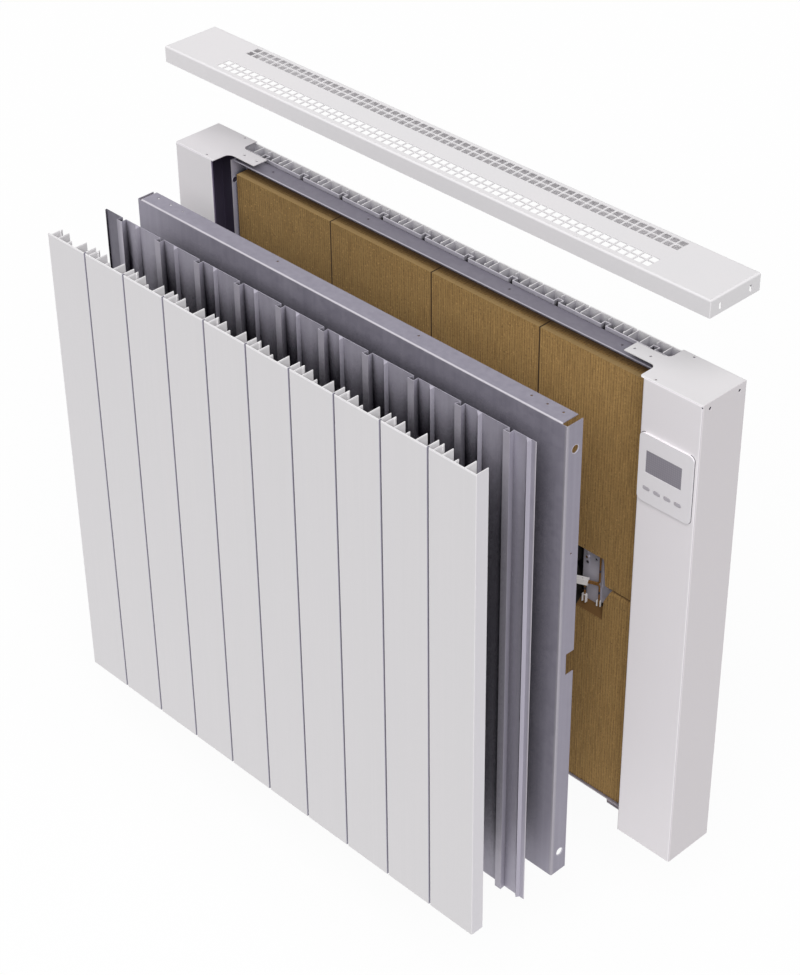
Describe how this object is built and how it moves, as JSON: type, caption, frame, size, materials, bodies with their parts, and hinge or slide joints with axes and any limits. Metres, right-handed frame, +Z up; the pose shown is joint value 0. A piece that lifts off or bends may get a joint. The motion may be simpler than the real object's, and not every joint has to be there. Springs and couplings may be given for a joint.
{
  "type": "storage heater",
  "caption": "Slim wall-hung storage heater drawn opened out: a brick core between white end columns, with the front tray, ribbed sheet, panel and perforated cover standing clear.",
  "frame": {"origin": "centre of the four wall-fixing holes, on the wall plane behind the heater", "axes": "+X along the width to the right as seen from the front, -Y out of the wall towards the room, +Z up"},
  "size_m": [0.9696, 0.3884, 0.8915],
  "materials": {
    "casing": "white powder coat, satin",
    "section_paint": "extruded aluminium, white powder coat, satin",
    "galvanised": "galvanised sheet steel, dull",
    "storage_brick": "pressed heat-storage brick, fine vertical ribs, matt",
    "rod_sheath": "oxidised mineral-filled heating rod",
    "lead_sleeve": "brown glass-fibre sleeving",
    "ceramic": "white unglazed ceramic",
    "zinc_plate": "zinc-plated steel",
    "control_plastic": "white moulded plastic, fine texture",
    "display_screen": "grey liquid-crystal window, blank",
    "button_plastic": "grey moulded plastic",
    "circuit_board": "green board with black components",
    "terminal_plastic": "cream moulded plastic",
    "phenolic": "brown phenolic moulding",
    "wire_sleeve": "silicone wire insulation",
    "gland_plastic": "black nylon"
  },
  "bodies": {
    "heater_body": {"left_column": "casing", "right_column": "casing", "left_base": "galvanised", "right_base": "galvanised", "left_tray_bracket": "galvanised", "right_tray_bracket": "galvanised", "rear_tray": "galvanised", "rear_rib_sheet": "galvanised", "upper_element": "rod_sheath", "lower_element": "rod_sheath", "element_leads": "lead_sleeve", "feed_block": "ceramic", "element_plates": "zinc_plate", "lead_clips": "ceramic", "control_bezel": "control_plastic", "display": "display_screen", "control_board": "circuit_board", "power_board": "circuit_board", "terminal_block": "terminal_plastic", "thermal_cutout": "phenolic", "wiring_loom": "wire_sleeve", "cable_gland": "gland_plastic", "left_wall_bracket": "zinc_plate", "right_wall_bracket": "zinc_plate", "case_screws": "zinc_plate", "rear_section_01": "section_paint", "rear_section_02": "section_paint", "rear_section_03": "section_paint", "rear_section_04": "section_paint", "rear_section_05": "section_paint", "rear_section_06": "section_paint", "rear_section_07": "section_paint", "rear_section_08": "section_paint", "rear_section_09": "section_paint", "rear_section_10": "section_paint", "brick_1": "storage_brick", "brick_2": "storage_brick", "brick_3": "storage_brick", "brick_4": "storage_brick", "brick_5": "storage_brick", "brick_6": "storage_brick", "brick_7": "storage_brick", "brick_8": "storage_brick"},
    "front_tray": {"front_tray": "galvanised"},
    "front_rib_sheet": {"front_rib_sheet": "galvanised"},
    "front_panel": {"front_section_01": "section_paint", "front_section_02": "section_paint", "front_section_03": "section_paint", "front_section_04": "section_paint", "front_section_05": "section_paint", "front_section_06": "section_paint", "front_section_07": "section_paint", "front_section_08": "section_paint", "front_section_09": "section_paint", "front_section_10": "section_paint"},
    "top_cover": {"top_cover": "casing"},
    "button_1": {"button_1": "button_plastic"},
    "button_2": {"button_2": "button_plastic"},
    "button_3": {"button_3": "button_plastic"},
    "button_4": {"button_4": "button_plastic"}
  },
  "joints": [
    {"name": "front_tray_slide", "type": "slide", "parent": "heater_body", "child": "front_tray", "axis": [0, 1, 0], "range_m": [0, 0.155]},
    {"name": "front_rib_sheet_slide", "type": "slide", "parent": "front_tray", "child": "front_rib_sheet", "axis": [0, 1, 0], "range_m": [0, 0.0525]},
    {"name": "front_panel_slide", "type": "slide", "parent": "front_rib_sheet", "child": "front_panel", "axis": [0, 1, 0], "range_m": [0, 0.0785]},
    {"name": "top_cover_lift", "type": "slide", "parent": "heater_body", "child": "top_cover", "axis": [0, 0, 1], "range_m": [-0.146, 0]},
    {"name": "button_1_press", "type": "slide", "parent": "heater_body", "child": "button_1", "axis": [0, 1, 0], "range_m": [0, 0.001], "stiffness_N_per_m": 600},
    {"name": "button_2_press", "type": "slide", "parent": "heater_body", "child": "button_2", "axis": [0, 1, 0], "range_m": [0, 0.001], "stiffness_N_per_m": 600},
    {"name": "button_3_press", "type": "slide", "parent": "heater_body", "child": "button_3", "axis": [0, 1, 0], "range_m": [0, 0.001], "stiffness_N_per_m": 600},
    {"name": "button_4_press", "type": "slide", "parent": "heater_body", "child": "button_4", "axis": [0, 1, 0], "range_m": [0, 0.001], "stiffness_N_per_m": 600}
  ]
}
